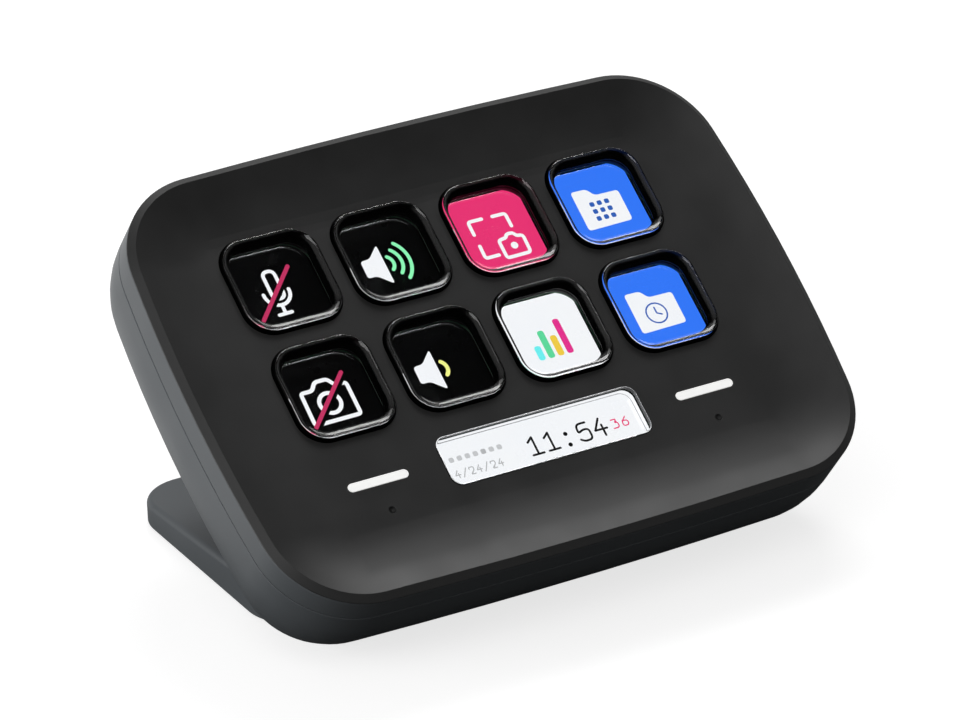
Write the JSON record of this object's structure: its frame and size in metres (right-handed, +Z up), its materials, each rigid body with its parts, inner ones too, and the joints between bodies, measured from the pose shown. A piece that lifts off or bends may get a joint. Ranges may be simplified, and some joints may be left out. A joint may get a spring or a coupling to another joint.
{
  "type": "desk keypad",
  "caption": "Leaning desk keypad with clear sprung keys over one display, an information window and light bars in a dished face, on a flat stand.",
  "frame": {"origin": "middle of the part's footprint, on the desk", "axes": "+X to the user's right, +Y away from the user, +Z up"},
  "size_m": [0.107, 0.0713, 0.0603],
  "materials": {
    "faceplate_black": "fine matte black moulding",
    "housing_slate": "fine matte slate-grey moulding",
    "pad_rubber": "matte black rubber",
    "clear_plastic": "polished clear polycarbonate",
    "inner_frame": "plain black moulding",
    "silicone": "soft translucent dark silicone",
    "board_green": "green solder mask",
    "flex_film": "amber film",
    "diffuser_white": "milky light-spreading plastic",
    "lamp": "small lamp packages",
    "display_glass": "bonded display glass",
    "light_tray": "silvered backlight tray",
    "chip_black": "moulded chip packages",
    "connector_cream": "cream connector plastic",
    "socket_steel": "drawn steel shell",
    "screw_steel": "plated screw steel"
  },
  "bodies": {
    "housing": {"faceplate": "faceplate_black", "front_frame": "housing_slate", "rear_shell": "housing_slate", "stand": "housing_slate", "stand_pad": "pad_rubber", "key_frame": "inner_frame", "silicone_mat": "silicone", "switch_board": "board_green", "switch_tail": "flex_film", "info_lens": "clear_plastic", "light_bar_left": "diffuser_white", "light_bar_right": "diffuser_white", "bar_leds": "lamp", "touch_pad_left": "flex_film", "touch_pad_right": "flex_film", "lcd_glass": "display_glass", "lcd_backlight": "light_tray", "lcd_ribbon": "flex_film", "mid_frame": "inner_frame", "main_board": "board_green", "board_chips": "chip_black", "ribbon_connectors": "connector_cream", "usb_socket": "socket_steel", "frame_screws": "screw_steel", "board_screws": "screw_steel", "stand_screws": "screw_steel"},
    "key_1": {"key_1": "clear_plastic"},
    "key_2": {"key_2": "clear_plastic"},
    "key_3": {"key_3": "clear_plastic"},
    "key_4": {"key_4": "clear_plastic"},
    "key_5": {"key_5": "clear_plastic"},
    "key_6": {"key_6": "clear_plastic"},
    "key_7": {"key_7": "clear_plastic"},
    "key_8": {"key_8": "clear_plastic"}
  },
  "joints": [
    {"name": "key_1_press", "type": "slide", "parent": "housing", "child": "key_1", "axis": [0, 0.5793, -0.8151], "range_m": [0, 0.0009], "stiffness_N_per_m": 600, "springref_m": -0.0003, "deforming": ["silicone_mat"]},
    {"name": "key_2_press", "type": "slide", "parent": "housing", "child": "key_2", "axis": [0, 0.5793, -0.8151], "range_m": [0, 0.0009], "stiffness_N_per_m": 600, "springref_m": -0.0003, "deforming": ["silicone_mat"]},
    {"name": "key_3_press", "type": "slide", "parent": "housing", "child": "key_3", "axis": [0, 0.5793, -0.8151], "range_m": [0, 0.0009], "stiffness_N_per_m": 600, "springref_m": -0.0003, "deforming": ["silicone_mat"]},
    {"name": "key_4_press", "type": "slide", "parent": "housing", "child": "key_4", "axis": [0, 0.5793, -0.8151], "range_m": [0, 0.0009], "stiffness_N_per_m": 600, "springref_m": -0.0003, "deforming": ["silicone_mat"]},
    {"name": "key_5_press", "type": "slide", "parent": "housing", "child": "key_5", "axis": [0, 0.5793, -0.8151], "range_m": [0, 0.0009], "stiffness_N_per_m": 600, "springref_m": -0.0003, "deforming": ["silicone_mat"]},
    {"name": "key_6_press", "type": "slide", "parent": "housing", "child": "key_6", "axis": [0, 0.5793, -0.8151], "range_m": [0, 0.0009], "stiffness_N_per_m": 600, "springref_m": -0.0003, "deforming": ["silicone_mat"]},
    {"name": "key_7_press", "type": "slide", "parent": "housing", "child": "key_7", "axis": [0, 0.5793, -0.8151], "range_m": [0, 0.0009], "stiffness_N_per_m": 600, "springref_m": -0.0003, "deforming": ["silicone_mat"]},
    {"name": "key_8_press", "type": "slide", "parent": "housing", "child": "key_8", "axis": [0, 0.5793, -0.8151], "range_m": [0, 0.0009], "stiffness_N_per_m": 600, "springref_m": -0.0003, "deforming": ["silicone_mat"]}
  ]
}
